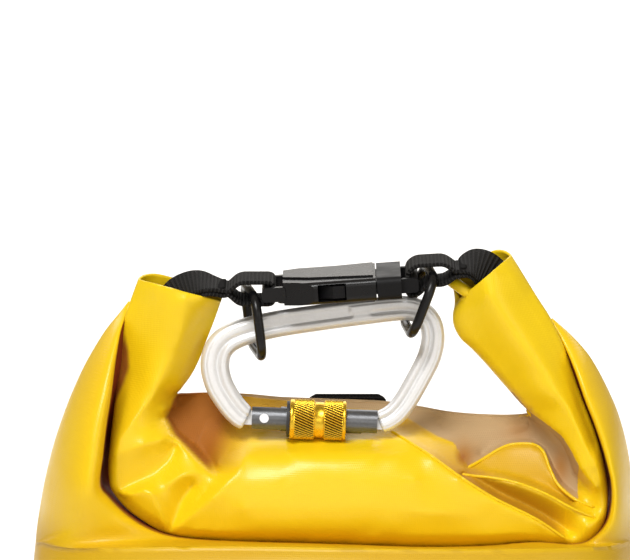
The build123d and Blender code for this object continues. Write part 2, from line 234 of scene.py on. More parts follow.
# Lines that the front of the roll runs through, as x, v, y.
ROLL_LINES = [
    # left end: its mouth, the soft ridge down the tube, both flanks
    [(-88, 121, -22), (-80, 119, -29), (-72.4, 116.8, -32), (-59.4, 113.1, -30), (-50.4, 110.8, -23)],
    [(-66, 112, -33), (-68.7, 97, -30), (-72.4, 86.7, -28), (-81.6, 68, -31), (-90.9, 55, -35),
     (-97, 46, -37)],
    [(-52, 105, -18), (-57.5, 92.2, -14.5), (-60.3, 84.8, -14), (-64, 77.4, -15), (-68.7, 70.9, -18)],
    [(-90, 112, -22), (-93.5, 100, -21), (-94, 86, -19), (-94.5, 77, -19), (-97, 65, -24), (-99, 53, -31)],
    # left crumple
    [(-96, 23.6, -40), (-89, 24, -43.5), (-85.4, 25.5, -44.5), (-81.6, 23.6, -46), (-78.5, 16, -45),
     (-74.2, 6, -42)],
    [(-101.5, 38, -37), (-101.3, 31, -38), (-99, 25.4, -38), (-93, 18, -39), (-85, 11.4, -40),
     (-77, 6.8, -40)],
    [(-94.6, 26, -37), (-81.6, 32, -35), (-74.2, 38.4, -32), (-71.4, 44.9, -29)],
    [(-99, 41, -38), (-85.4, 45.8, -38), (-77, 48.2, -34), (-72.8, 50, -29)],
    [(-75, 27, -42), (-68, 32, -42), (-60, 33, -40)],
    # the fold over the pocket, its front edge and what lies behind it
    [(-75.1, 61.6, -20), (-76.8, 58.0, -22), (-72.6, 50.0, -28), (-67, 44.5, -31), (-60.5, 38, -35),
     (-55.6, 32.6, -39)],
    [(-74.5, 60.5, -7), (-73.5, 57.5, -8), (-69.5, 52, -11), (-64, 47, -14), (-57.6, 41, -20),
     (-53.2, 35, -31)],
    [(-73.3, 6.9, -41), (-68.7, 19.9, -38), (-63.5, 27.3, -37)],
    [(-70, 9, -43), (-62, 20, -43), (-56, 27, -42)],
    # the soft ridge at the left of the front face
    [(-73.3, 5.9, -42), (-63.1, 14, -46), (-53.8, 21.6, -48), (-48.2, 27.4, -47), (-41.5, 34.7, -44),
     (-37.6, 41.2, -38)],
    [(-52, 37, -33), (-46, 44, -26)],
    [(-62, 56, -8), (-50, 53, -13), (-38, 51, -19), (-26, 50, -21)],
    # the front face from the gap below up to the back's top edge
    [(-66, 3.4, -41), (-30, 1.2, -42), (0, 0, -42), (35, -1.9, -42), (71, -0.5, -42), (105, 0, -41)],
    [(-62, 7, -45), (-30, 6, -48), (0, 6, -49), (35, 5, -49), (71, 5, -47), (92, 5, -45)],
    [(-40, 17, -50), (-10, 16, -51.5), (20, 16, -51.5), (50, 15, -50), (70, 13, -47)],
    [(-36, 30, -46.5), (-10, 29, -48.5), (15, 30, -48.5), (38, 30, -47)],
    [(-30, 41, -38), (-10, 42, -40), (10, 42, -40), (30, 41, -40)],
    [(-26, 46, -29), (-8, 47, -29), (10, 47, -29), (28, 46, -31)],
    [(-30, 57, -9), (-10, 57, -8.5), (12, 56.5, -9), (30, 56, -9)],
    [(-70, 67, -1), (-44.5, 68, 0), (-26, 66.6, 0), (-10, 66, 0), (26, 64.5, 0), (41.8, 62, 0),
     (64, 59, 0), (90, 59.3, -1)],
    # right: the front fold's crest, and the drop behind it
    [(27, 51.8, -20), (35.3, 46.8, -31), (45.5, 40.3, -39), (58.5, 31, -43), (73.3, 21.7, -45),
     (91.9, 12.4, -45),
     (105.8, 3.2, -43), (110.9, -0.3, -41)],
    [(30, 53, -15), (38, 48.2, -24), (47.5, 42, -30), (60.5, 33, -34), (75, 24.2, -33), (94, 15, -33),
     (108, 6, -35)],
    # right: the middle fold and what is behind it
    [(59, 32.2, -33), (64, 31.5, -33), (73.3, 30.5, -35), (84.4, 28.2, -38), (96.5, 23.6, -40),
     (108.6, 17.1, -41),
     (119.5, 12.4, -38)],
    [(66, 33.4, -27), (74, 33, -26), (85.5, 30.8, -26), (98, 26.4, -27), (110, 20, -29)],
    # right: the wave and the hollow behind it
    [(62, 35, -26), (67.7, 38, -21), (76.1, 43.1, -17), (82.6, 45.4, -15), (91.9, 45.4, -16),
     (96.5, 42.1, -19),
     (99.3, 34.7, -23), (103, 27.3, -28), (110.4, 20.8, -33), (119.5, 17.1, -34)],
    [(68, 40.5, -14), (77, 45.8, -10), (83, 47.8, -8), (92, 47.8, -8), (98.5, 44, -11), (102, 36, -16),
     (105.5, 29, -21), (112, 23.5, -26)],
    [(41, 52, -16), (47.3, 48, -19), (54.8, 46, -17), (62, 48, -11)],
    [(50, 54, -6), (64, 53, -6), (78, 53, -5), (90, 54, -6)],
    # the right tube's lower edge and the hollow behind it
    [(90.5, 60.2, -21), (99.3, 53.8, -28), (104.9, 49, -32), (109, 42.1, -35), (112.8, 34.7, -38),
     (119.8, 26.4, -39)],
    [(88.5, 58, -4), (97.2, 51.5, -8), (102.8, 46.5, -12), (106.4, 40.5, -17), (109.8, 33, -24),
     (116.5, 25, -30)],
    [(113, 0.5, -41), (115.5, 9, -43), (121, 12.5, -40)],
    # right tube
    [(81.5, 131.9, -22), (73.3, 124.7, -32), (67.7, 120.5, -32), (58, 112.2, -23)],
    [(71, 114.5, -34), (82.6, 96.9, -33), (96.5, 78.3, -34), (107.6, 61.6, -36), (114, 47, -39),
     (119, 36, -40)],
    [(56.5, 104, -22), (60.5, 93.5, -21), (76.1, 77, -22), (89, 62.5, -23)],
    [(90, 115, -23), (99, 100, -23), (107.5, 80, -25), (114, 62, -29), (120, 46, -33)],
]


# How far each mouth's back lip stands past its front lip, in x and v.
LEFT_LIP = (1.8, 4.4)
RIGHT_LIP = (-4.6, 5.6)
# The lip that is rolled over at the front of the right mouth, as x, v, y.
ROLLED_LIP = [(54.8, 119.8, -19), (56.8, 118.3, -22), (59.8, 116.2, -23.5), (63.6, 114.0, -23)]


def smooth(x):
    """0 up to x = 0 and 1 from x = 1, with a soft step between."""
    x = np.clip(x, 0, 1)
    return x * x * (3 - 2 * x)


def round_edge(distance, radius):
    """0 at an edge to 1 at radius from it, as a quarter circle."""
    d = np.clip(distance / radius, 0, 1)
    return np.sqrt(1 - (1 - d) ** 2)


# Edges on the roll, as x and v, where painted shade starts or stops: the front fold, the middle fold, the
# wave behind it, the lower edge of the lining that shows, and the lower edge of the right tube.
FRONT_FOLD = [(27, 51.8), (35.3, 46.8), (45.5, 40.3), (58.5, 31), (73.3, 21.7), (91.9, 12.4), (105.8, 3.2)]
MIDDLE_FOLD = [(59, 32.2), (64, 31.5), (73.3, 30.5), (84.4, 28.2), (96.5, 23.6), (108.6, 17.1),
               (119.5, 12.4)]
WAVE = [(62, 35), (67.7, 38), (76.1, 43.1), (82.6, 45.4), (91.9, 45.4), (96.5, 42.1), (99.3, 34.7),
        (103, 27.3),
        (110.4, 20.8), (119.5, 17.1)]
SHADED_LINING = [(-36, 66), (-20, 64.5), (0, 61.5), (27, 59.5), (34.7, 56.5), (47.8, 48.7), (55.6, 45.6),
          (60, 38)] + WAVE
TUBE_FOOT = [(82, 70), (90.5, 60.2), (99.3, 53.8), (104.9, 49), (109, 42.1), (112.8, 34.7), (119.8, 26.4)]
# Upright edges, as v and x, where painted shade starts: the fold over the left pocket, and the shadow beside
# the left slit.
POCKET = [(32.6, -55.6), (38, -60.5), (44.5, -67), (50, -72.6), (58, -76.8), (61.6, -75.1), (66, -73.5),
          (70, -71)]
SLIT_SHADOW = [(56, -101), (64, -98), (73, -93.8), (80.8, -91.2), (88, -91.5), (94.8, -92.9), (99, -95)]


SHADED_LINING_ENDS = (-36, 112)        # the stretch of x where the lining shows, in painted shade
# painted shade laid over the lining, which turns the yellow to its pale tan
LINING_SHADE = 0.92
TOP_EDGE = 69.5         # v of the roll's edge between its two tubes


def over(line, x, v, reach):
    """1 just over a line that runs along x, fading to 0 at reach mm over it, and 0 past its ends."""
    line = np.array(line)
    gap = v - np.interp(x, line[:, 0], line[:, 1])
    return np.clip(1 - gap / reach, 0, 1) * smooth(gap / 0.8 + 0.5) * ((x > line[0, 0]) & (x < line[-1, 0]))


def right_of(line, x, v, soft):
    """1 to the right of a line of v and x, and 0 to its left and past its ends."""
    line = np.array(line)
    return smooth((x - np.interp(v, line[:, 0], line[:, 1])) / soft) * ((v > line[0, 0]) & (v < line[-1, 0]))


def spot(x, v, at_x, at_v, wide, tall):
    return np.exp(-((x - at_x) / wide) ** 2 - ((v - at_v) / tall) ** 2)


def roll_shadow(x, v, y):
    """Painted shade on the roll's fabric, and where its pale lining shows, painted in shade as a matt tan."""
    under_foot = v < np.interp(x, *np.array(TUBE_FOOT).T, left=200)
    in_ends = (x > SHADED_LINING_ENDS[0]) & (x < SHADED_LINING_ENDS[1])
    shaded_lining = smooth((v - np.interp(x, *np.array(SHADED_LINING).T)) / 1.2) * in_ends * under_foot
    shaded_lining = shaded_lining * (v < TOP_EDGE)
    # painted shade just over the front fold and the middle fold, fading upwards from each edge
    strength = np.interp(x, [27, 45, 60, 100, 108], [0.1, 0.3, 0.85, 0.75, 0])
    under_middle = (v < np.interp(x, *np.array(MIDDLE_FOLD).T)) | (x < 59)
    front = over(FRONT_FOLD, x, v, 18) * strength * under_middle
    middle = over(MIDDLE_FOLD, x, v, 9) * np.interp(x, [59, 66, 80, 108, 116], [0.9, 0.8, 0.35, 0.6, 0])
    # painted shadow: three soft brown spots in the hollows behind the folds
    shadow_spots = spot(x, v, 60, 40, 5, 6) + 0.8 * spot(x, v, 104.5, 35, 3.5, 8) + 0.5 * spot(x, v, 86, 52, 7, 5)
    # painted shade in the left pocket behind its fold, and on the left tube's flank beside the slit
    pocket_end = 1 - smooth((x + 60 - 0.35 * (v - 35)) / 22)
    pocket = right_of(POCKET, x, v, 2.2) * pocket_end * smooth((v - 31) / 7)
    beside_slit = smooth((np.interp(v, *np.array(SLIT_SHADOW).T) - x) / 2.5)
    slit = beside_slit * smooth((v - 57) / 8) * smooth((98 - v) / 8)
    # painted shade where the roll's top turns back under the carabiner, and over the face of the wave
    middle_back = 0.6 * smooth((y + 27) / 16) * smooth((x + 60) / 20) * smooth((60 - x) / 20) * (v < TOP_EDGE)
    wave = 0.42 * (v > np.interp(x, *np.array(MIDDLE_FOLD).T)) * (v < 48) * smooth((x - 60) / 3)
    wave = wave * under_foot * smooth((118 - x) / 12)
    shadow_spots = np.clip(shadow_spots, 0, 1) * under_foot
    shade = np.maximum.reduce([front, middle, shadow_spots, pocket, slit, middle_back, wave, LINING_SHADE * shaded_lining])
    return np.clip(shade, 0, 1), shaded_lining * (1 - 0.85 * shadow_spots)


def rolled_collar():
    """The roll: a front laid through the depth lines and a plain back, from one mouth to the other."""
    soft = Depth(ROLL_LINES, (-106, -6), (130, 136))
    crisp = Depth(ROLL_LINES, (-106, -6), (130, 136), step=0.5, tension=0.3)

    def lie(x, v):
        creased = np.maximum(smooth((-30 - x) / 18), smooth((x - 24) / 18)) * smooth((76 - v) / 16)
        return crisp.at(x, v) * creased + soft.at(x, v) * (1 - creased)

    per, front_rows, back_rows = 16, 140, 26
    outer = catmull([r[0] for r in ROLL_RIBS], per)
    inner = catmull([r[1] for r in ROLL_RIBS], per)
    bulge = catmull([(r[2], 0) for r in ROLL_RIBS], per)[:, 0]
    cols = len(outer)
    t = (1 - np.cos(np.linspace(0, math.pi, front_rows))) / 2
    flat = outer[:, None] + (inner - outer)[:, None] * t[None, :, None]
    width = np.linalg.norm((inner - outer)[:, :2], axis=1)[:, None]
    near = np.minimum(t[None] * width, (1 - t)[None] * width)
    x, v = flat[..., 0], flat[..., 1]
    skin = np.minimum(lie(x, v), flat[..., 2] - 0.5)
    flat[..., 2] += (skin - flat[..., 2]) * round_edge(near, 6.0)
    shade, shaded_lining = roll_shadow(x, v, flat[..., 2])
    tb = (1 + np.cos(np.linspace(0, math.pi, back_rows + 2)))[1:-1] / 2
    back = outer[:, None] + (inner - outer)[:, None] * tb[None, :, None]
    lift = np.sqrt(1 - (1 - tb) ** 2)[None]
    swell = bulge[:, None] * np.sqrt(1 - (2 * tb - 1) ** 2)[None]
    back[..., 2] = outer[:, 2:] + (inner - outer)[:, 2:] * lift + swell
    for end, near_end, (dx, dv) in ((0, 1, LEFT_LIP), (cols - 1, -1, RIGHT_LIP)):
        for k in range(per):
            rise = (1 - k / per) ** 1.5 * round_edge(tb, 0.25) * round_edge(1 - tb, 0.07)
            back[end + near_end * k, :, 0] += dx * rise
            back[end + near_end * k, :, 1] += dv * rise
    points = sight(np.concatenate([flat, back], 1))
    faces = grid_faces(cols, front_rows + back_rows, wrap_cols=True)
    obj = mesh_object("rolled_collar_fabric", points, faces)
    # the lining and its painted shade go on over the first rows of the back, behind the top edge
    shaded_lining_back = np.zeros((cols, back_rows))
    shaded_lining_back[:, :3] = (x[:, -1:] > -60) & (x[:, -1:] < 86) & (v[:, -1:] < TOP_EDGE)
    paint(obj, np.concatenate([shade, LINING_SHADE * shaded_lining_back], 1).ravel())
    paint(obj, np.concatenate([shaded_lining, shaded_lining_back], 1).ravel(), "shaded_lining")
    face_out(obj)
    cloth = obj.modifiers.new("fabric", "SOLIDIFY")
    cloth.thickness = 0.0011
    cloth.offset = -1
    for line in (FRONT_FOLD, MIDDLE_FOLD, WAVE):
        edge = even(catmull(line, 8), 0.8)
        edge = np.column_stack([edge, lie(edge[:, 0], edge[:, 1]) - 0.2])
        join(obj, thread("fold_edge", sight(edge) * 1000, 0.34))
    lip = even(catmull(ROLLED_LIP, 6), 0.8)
    join(obj, thread("rolled_lip", sight(lip) * 1000, 2.8))
    return obj


# ---- the bag under it ------------
# Ribs from the slit or gap beside the roll (first) to the silhouette or shoulder crease (second), x, v, y,
# with the bulge between them.
EAR_RIBS = [
    ((-91.6, 110.2, -12), (-92.6, 111.0, -11), 0.3), ((-93.4, 105.6, -15), (-97.0, 105.4, -12), 1.5),
    ((-96.0, 96.9, -24), (-104.0, 96.6, -12), 5), ((-98.2, 82.9, -33), (-112.3, 82.8, -12), 10),
    ((-99.9, 69.0, -39), (-118.8, 69.0, -11), 15), ((-102.0, 55.1, -43), (-124.2, 55.0, -10), 19),
    ((-103.6, 41.2, -46), (-128.6, 41.0, -8), 22), ((-104.9, 28.0, -47), (-132.6, 24.0, -5), 24),
    ((-101.2, 22.0, -44), (-136.0, 2.0, -2), 25), ((-92.6, 13.4, -42), (-132.5, 0.6, -26), 16),
    ((-82.0, 6.9, -42), (-121.0, -1.0, -47), 6), ((-70.0, 3.5, -42), (-104.0, -0.6, -60), 1),
    ((-52.0, 2.2, -42), (-76.0, 0.2, -69), 0), ((-25.0, 1.4, -43), (-38.0, 0.6, -73), 0),
    ((5.0, 0.6, -43), (5.0, 0.0, -75), 0), ((40.0, -0.6, -43), (50.0, -0.6, -74), 0),
    ((70.0, -0.2, -43), (86.0, -0.6, -69), 0), ((92.0, 1.4, -43), (112.0, -0.4, -60), 1),
    ((110.0, 0.4, -43), (127.0, 0.0, -47), 4), ((118.6, 3.4, -42), (135.5, 1.0, -26), 10),
    ((125.4, 12.0, -42), (139.0, 2.5, -2), 16), ((126.8, 26.0, -42), (138.5, 18.0, -4), 16),
    ((123.6, 41.0, -40), (136.0, 40.0, -8), 14), ((119.4, 54.0, -37), (131.5, 58.0, -10), 12),
    ((114.6, 66.5, -33), (125.0, 73.0, -11), 9), ((110.4, 79.0, -27), (117.5, 86.0, -12), 6),
    ((106.0, 90.0, -19), (109.0, 95.6, -12), 2.5), ((100.0, 102.2, -11), (100.4, 103.3, -10), 0.3),
]
EAR_CORNERS = (8, 20)       # the ribs where the shoulder crease meets the silhouettes


def mirror_back(front, middle):
    """The back of each rib, mirrored in its own edge's plane, with the front's silhouette higher up."""
    z = height(front[..., 1], front[..., 2]) - FOLD_Z
    flatter = 1 - 0.45 * np.clip(z / 80, 0, 1)
    back = front.copy()
    back[..., 2] = middle[:, None] - (front[..., 2] - middle[:, None]) * flatter
    kept = smooth((front[..., 1] - 8) / 40)
    back[..., 1] += (1 - kept) * (back[..., 2] - front[..., 2]) * SIN10
    return back


def wall_share(around, z):
    """How much of its full radius the bag's soft wall has, round it and at height z in metres."""
    sag = np.exp(-((z - 0.25) / 0.08) ** 2) + 0.35 * np.exp(-((z - 0.09) / 0.05) ** 2)
    wave = np.sin(3 * around + 0.6) + 0.6 * np.sin(5 * around + 2 + 9 * z)
    wave = wave + 0.35 * np.sin(9 * around + 14 * z)
    return 1 - 0.004 * sag * (1 + wave)


def wall_patch(name, angles, heights, proud, thick):
    """A piece of fabric lying proud of the bag's wall, thick in metres."""
    a, z = np.meshgrid(angles, heights)
    layers = []
    for r in (BODY_R + proud, BODY_R + proud + thick):
        radius = r * wall_share(a, z)
        layers.append(np.stack([radius * np.cos(a), radius * np.sin(a), z], -1))
    loop = np.concatenate([layers[1], layers[0][::-1]], 0)
    all_round = abs(angles[-1] - angles[0]) > 6
    faces = grid_faces(len(loop), len(angles), wrap_rows=True, wrap_cols=all_round)
    if not all_round:
        n = len(angles)
        for col in (0, n - 1):
            for i in range(len(heights) - 1):
                a0, b0 = i * n + col, (i + 1) * n + col
                c0, d0 = (len(loop) - 2 - i) * n + col, (len(loop) - 1 - i) * n + col
                faces.append((a0, b0, c0, d0) if col else (d0, c0, b0, a0))
    return face_out(mesh_object(name, loop, faces))


def base_skirt():
    return wall_patch("base_skirt_fabric", np.linspace(0, 2 * math.pi, 240, endpoint=False),
                      np.linspace(0.0003, SKIRT_H, 22), 0.0002, 0.0012)


def seam_strip():
    """The wall's weld: a strip 20 mm wide on a radius of 138 mm."""
    middle, half = math.radians(-65.6), 10 / 138
    return wall_patch("seam_strip_fabric", np.linspace(middle - half, middle + half, 16),
                      np.linspace(0.0425, 0.2995, 90), 0.0001, 0.0008)


def base_panel():
    """The round base, its middle drawn up a little off the ground."""
    rim, n = 0.1368, 160
    radii = np.linspace(0.002, rim, 24)
    a, r = np.meshgrid(np.linspace(0, 2 * math.pi, n, endpoint=False), radii)
    lift = 0.0012 * (1 - (r / rim) ** 4) * (1 + 0.2 * np.sin(3 * a))
    low = np.stack([r * np.cos(a), r * np.sin(a), lift + 0.0001], -1)
    high = low[::-1] + np.array([0, 0, 0.0012])
    loop = np.concatenate([low, high], 0)
    faces = grid_faces(len(loop), n, wrap_rows=True, wrap_cols=True)
    return face_out(mesh_object("base_panel_fabric", loop, faces))


def bag_skin():
    """The gathered top of the bag and its body, as one skin."""
    per, rows = 8, 22
    slit = catmull([r[0] for r in EAR_RIBS], per)
    edge = catmull([r[1] for r in EAR_RIBS], per)
    bulge = catmull([(r[2], 0) for r in EAR_RIBS], per)[:, 0]
    t = (1 - np.cos(np.linspace(0, math.pi, rows))) / 2
    front = slit[:, None] + (edge - slit)[:, None] * t[None, :, None]
    front[..., 2] -= bulge[:, None] * np.sqrt(np.clip(1 - (2 * t - 1) ** 2, 0, 1))[None]
    cols = len(slit)
    first, last = EAR_CORNERS[0] * per, EAR_CORNERS[1] * per
    column = np.arange(cols)
    outside = 1 - smooth((column - first) / per) * smooth((last - column) / per)
    front, back = sight(front), sight(mirror_back(front, edge[:, 2] * outside))
    # the recess between the two slits, under and beside the roll
    inward = np.linspace(0, 1, 18)
    recess = front[:, :1] + (back[:, :1] - front[:, :1]) * inward[None, :, None]
    room = np.clip((back[:, :1, 1] - front[:, :1, 1]) / 0.020, 0, 1)
    side = smooth((slit[:, 1:2] - 12) / 20)
    behind = smooth((recess[..., 1] * 1000 + 21) / 10)
    recess[..., 0] -= 0.007 * np.sign(slit[:, :1]) * behind * room * side
    loop = np.concatenate([front[:, ::-1], recess[:, 1:-1], back], 1)
    upper = mesh_object("bag_upper", loop, grid_faces(cols, loop.shape[1]))
    # painted shade in the recess under and beside the roll, on the slit's edge and low on the front by the
    # crease
    dark = np.zeros(loop.shape[:2])
    dark[:, rows:rows + recess.shape[1] - 2] = 1 - 0.7 * smooth((inward[1:-1] - 0.45) / 0.5)
    dark[:, rows - 1] = 0.6
    low = 0.36 * smooth((16 - (front[..., 2] * 1000 - FOLD_Z)) / 22)
    dark[:, :rows - 1] = np.maximum(dark[:, :rows - 1], low[:, :0:-1])
    paint(upper, dark.ravel())
    # lower shell: the crease line round both sides, down to the wall and the base
    crease = np.vstack([front[first:last + 1, -1], back[last - 1:first:-1, -1]])
    n = len(crease)
    angle = np.unwrap(np.arctan2(crease[:, 1], crease[:, 0]))
    angle = np.linspace(angle[0], angle[0] + 2 * math.pi, n, endpoint=False) * 0.35 + angle * 0.65
    circle = np.stack([BODY_R * np.cos(angle), BODY_R * np.sin(angle), np.full(n, WALL_TOP)], -1)
    rings = []
    under = crease * np.array([1.02, 1.02, 1]) - np.array([0, 0, 0.020])
    for s in np.linspace(0, 1, 26):
        drop = (1 - s) ** 3 * crease + 3 * s * (1 - s) ** 2 * under
        rings.append(drop + 3 * s ** 2 * (1 - s) * (circle + np.array([0, 0, 0.034])) + s ** 3 * circle)
    for z in np.linspace(WALL_TOP, 0.0, 60)[1:]:
        ring = circle.copy()
        ring[:, 2] = z
        rings.append(ring)
    rings = np.array(rings)
    rings[..., :2] *= wall_share(np.arctan2(rings[..., 1], rings[..., 0]), rings[..., 2])[..., None]
    lower = mesh_object("bag_lower", rings, grid_faces(len(rings), n, wrap_cols=True))
    # painted shade on the lower shell's top rings, fading down from the crease
    fade = 0.36 * (1 - smooth(np.arange(len(rings)) / 24))
    paint(lower, np.repeat(fade, n))
    join(upper, lower)
    weld(upper, 0.0002)
    face_out(upper)
    upper.name = "bag_skin_fabric"
    return upper


def join(a, b):
    """Puts b's mesh into a."""
    bpy.ops.object.select_all(action="DESELECT")
    a.select_set(True)
    b.select_set(True)
    bpy.context.view_layer.objects.active = a
    bpy.ops.object.join()


def weld(obj, distance):
    bm = bmesh.new()
    bm.from_mesh(obj.data)
    bmesh.ops.remove_doubles(bm, verts=bm.verts, dist=distance)
    bm.to_mesh(obj.data)
    bm.free()


# ---- webbing ------------
def rounded(points, radius, steps=5):
    """The line through the points with its corners cut round."""
    p = np.asarray(points, float)
    out = [p[0]]
    for a, b, c in zip(p[:-2], p[1:-1], p[2:]):
        r = min(radius, math.dist(a, b) * 0.45, math.dist(b, c) * 0.45)
        start, end = b + (a - b) / math.dist(a, b) * r, b + (c - b) / math.dist(b, c) * r
        for t in np.linspace(0, 1, steps):
            out.append((1 - t) ** 2 * start + 2 * t * (1 - t) * b + t * t * end)
    out.append(p[-1])
    return np.array(out)


def even(points, step):
    """The same line at even steps."""
    gaps = np.linalg.norm(np.diff(points, axis=0), axis=1)
    along = np.concatenate([[0], np.cumsum(gaps)])
    at = np.linspace(0, along[-1], max(2, int(along[-1] / step) + 1))
    return np.stack([np.interp(at, along, points[:, k]) for k in range(points.shape[1])], -1)


def ribbon(name, centre, wide, thick):
    """Webbing in mm: its centre line, its half-width vectors and its thickness, with woven edges."""
    along = unit(np.gradient(centre, axis=0))
    flat = unit(np.cross(along, wide))
    edge = [(-1, -0.2), (-0.985, -0.75), (-0.93, -1)] + [(q, -1) for q in np.linspace(-0.8, 0.8, 9)]
    edge += [(0.93, -1), (0.985, -0.75), (1, -0.2)]
    edge += [(-a, -b) for a, b in edge]
    count = len(edge)
    points = np.array([centre + wide * a + flat * (b * thick / 2) for a, b in edge]).transpose(1, 0, 2)
    obj = face_out(mesh_object(name, points / 1000, tube_faces(len(centre), count)))
    travel = np.concatenate([[0], np.cumsum(np.linalg.norm(np.diff(centre, axis=0), axis=1))])
    half = np.linalg.norm(wide, axis=1)
    layer = obj.data.uv_layers.new(name="weave")
    for loop in obj.data.loops:
        row, col = divmod(loop.vertex_index, count)
        layer.data[loop.index].uv = (travel[row], edge[col][0] * half[row])
    return obj


# Each strap out of its mouth: x, y, height over the fold line, twist in degrees and half width.
LEFT_LEAD = [(-77, -18, 94, 46, 6), (-76, -18, 103, 42, 7), (-71.5, -18, 110.6, 34, 8.6),
             (-65.5, -18, 114.4, 24, 10.2),
             (-60, -18, 115.8, 14, 11.6), (-54.5, -18, 115.0, 4, 13.0), (-49.5, -18, 113.5, 0, 13.5)]
LEFT_LOOP = [(-49.5, 113.5), (-47, 114.0), (-42, 118.5), (-26.4, 118.5), (-26.4, 108.5), (-42, 108.5),
             (-47, 113.0),
             (-49.5, 113.5)]
RIGHT_LEAD = [(84, -18, 96, 54, 6), (81.5, -18, 106, 50, 7.5), (77, -18, 115, 44, 9.2),
              (71.5, -18, 121.2, 34, 11),
              (66, -18, 124.2, 23, 12.2), (61.5, -18, 124.2, 10, 13.3), (58, -18, 122.6, 0, 13.5)]
RIGHT_LOOP = [(58, 122.6), (56, 123.4), (51, 127.0), (38, 126.2), (34.3, 123.4), (34.3, 112.6),
              (38.6, 112.6),
              (43.6, 117.5), (51, 117.5), (56, 121.2), (58, 122.6)]


PLY_OFF = 1.05          # from the middle of two plies to the middle of either, mm


def strap(name, lead, loop):
    """One webbing: out of the mouth, round the buckle's bar and back along itself."""
    lead = catmull(lead, 10)
    loop = rounded(loop, 2.6)
    ahead = math.copysign(1, loop[3][0] - loop[0][0])
    along = unit(np.gradient(lead[:, :3], axis=0))
    up = unit(np.stack([-along[:, 2], 0 * along[:, 0], along[:, 0]], -1) * ahead)
    twist = np.radians(lead[:, 3:4])
    wide = np.cos(twist) * np.array([0, 1.0, 0]) + np.sin(twist) * up
    off = np.cross(wide, along) * -ahead
    off *= np.sign(off[-1, 2])
    n = len(loop)
    round_bar = np.stack([loop[:, 0], np.full(n, CLOSURE_Y), loop[:, 1]], -1)
    apart = np.interp(np.arange(n), [0, 3, n - 4, n - 1], [PLY_OFF, 0, 0, -PLY_OFF])
    round_bar[:, 2] += apart
    off = off[:-1] * PLY_OFF
    centre = np.vstack([lead[:-1, :3] + off, round_bar, (lead[:-1, :3] - off)[::-1]])
    wide = wide[:-1] * lead[:-1, 4:5]
    wides = np.vstack([wide, np.tile([0, WEB_HALF, 0], (n, 1)), wide[::-1]])
    line = even(np.hstack([centre, wides]), 0.8)
    centre = line[:, :3] + np.array([0, 0, FOLD_Z])
    return ribbon(name, centre, line[:, 3:], 1.9)


def thread(name, points, radius=0.28):
    """A round thread, or a thicker rolled edge, laid along a line in mm."""
    p = np.asarray(points, float)
    along = unit(np.gradient(p, axis=0))
    a = unit(np.cross(along, [0.11, 0.23, 0.97]))
    b = np.cross(along, a)
    sides = 6 if radius < 1 else 16
    turns = np.linspace(0, 2 * math.pi, sides, endpoint=False)
    rings = np.array([p + radius * (a * math.cos(t) + b * math.sin(t)) for t in turns]).transpose(1, 0, 2)
    return face_out(mesh_object(name, rings / 1000, tube_faces(len(p), sides)))


def bar_tack(name, x, h):
    """Close zigzag stitches over the two plies."""
    n, reach = 57, 11.2
    side = np.arange(n) % 2 * 2 - 1
    y = CLOSURE_Y + np.linspace(-reach, reach, n)
    return thread(name, np.stack([x + 1.45 * side, y, np.full(n, FOLD_Z + h)], -1))


def back_tab():
    """The black tab behind the roll, a little curved."""
    n, foot, top = 40, 11, 60.6
    up = np.linspace(foot, top, n)
    y = 3.5 + 0.9 * np.sin((up - foot) / 50 * math.pi)
    centre = np.stack([np.full(n, 7.0), y, FOLD_Z + up], -1)
    half = 18 * np.sqrt(np.clip(1 - np.clip((up - 57.4) / 5.5, 0, 1) ** 2, 0.1, 1))
    wide = np.stack([half, 0 * half, 0 * half], -1)
    return ribbon("back_tab_fabric", centre, wide, 1.6)


# ---- carabiner ------------
# The rod's centre line in the carabiner's plane: x, height there and the rod's width, mm.
ROD = [
    (-38.6, 57.5, 11.0), (-41.7, 59.3, 11.8), (-46.2, 64.4, 12.2), (-51.4, 73.2, 12.8),
    (-53.2, 82.5, 13.2), (-50.5, 90.6, 13.0),
    (-42.5, 96.0, 12.5), (-26.4, 100.2, 12.1), (-5.5, 103.4, 11.9), (14.5, 106.0, 11.7), (26, 107.3, 11.5),
    (34.5, 107.6, 11.0), (40.5, 105.7, 10.8), (44.7, 101, 10.5), (46.0, 94.5, 10.6), (44.9, 87.5, 10.8),
    (42.0, 80.6, 10.8), (34.3, 66.8, 10.6), (29.4, 60.4, 10.6), (25.4, 57.4, 10.5), (21.6, 55.9, 10.3),
]
RIVET, GATE_TIP = (-30.8, 57.7), (20.6, 55.8)
GATE_TURN = math.atan2(GATE_TIP[1] - RIVET[1], GATE_TIP[0] - RIVET[0])


def on_plane(u, h, d):
    """Points of the carabiner's plane, d in front of it, from mm to metres."""
    u, h, d = np.broadcast_arrays(u, h, d)
    lift = h - SPINE_H
    y = CLOSURE_Y + lift * SIN10 - d * COS10
    z = FOLD_Z + SPINE_Z + lift * COS10 + d * SIN10
    return np.stack([u, y, z], -1) / 1000


def by_gate(a, b, d):
    """The same from a frame with the rivet at its origin and the gate along a."""
    return on_plane(RIVET[0] + a * math.cos(GATE_TURN) - b * math.sin(GATE_TURN),
                    RIVET[1] + a * math.sin(GATE_TURN) + b * math.cos(GATE_TURN), d)


def rod_face(q, panel, plate):
    """How far the rod's face stands off its mid-plane at q, -1 at the inner edge to 1 at the outer."""
    a = np.abs(q)
    crown = np.sqrt(np.clip(1 - (np.clip(a - 0.5, 0, 1) / 0.5) ** 2.2, 0, 1))
    channel = 1.15 * np.exp(-((q + 0.16) / 0.17) ** 2)
    outer_line = 0.32 * np.exp(-((q - 0.60) / 0.07) ** 2)
    flat = 0.55 * smooth((0.30 - np.abs(q - 0.26)) / 0.08)
    return 4.8 * crown - channel * (1 - 0.3 * panel) * (1 - 0.85 * plate) - outer_line - flat * panel


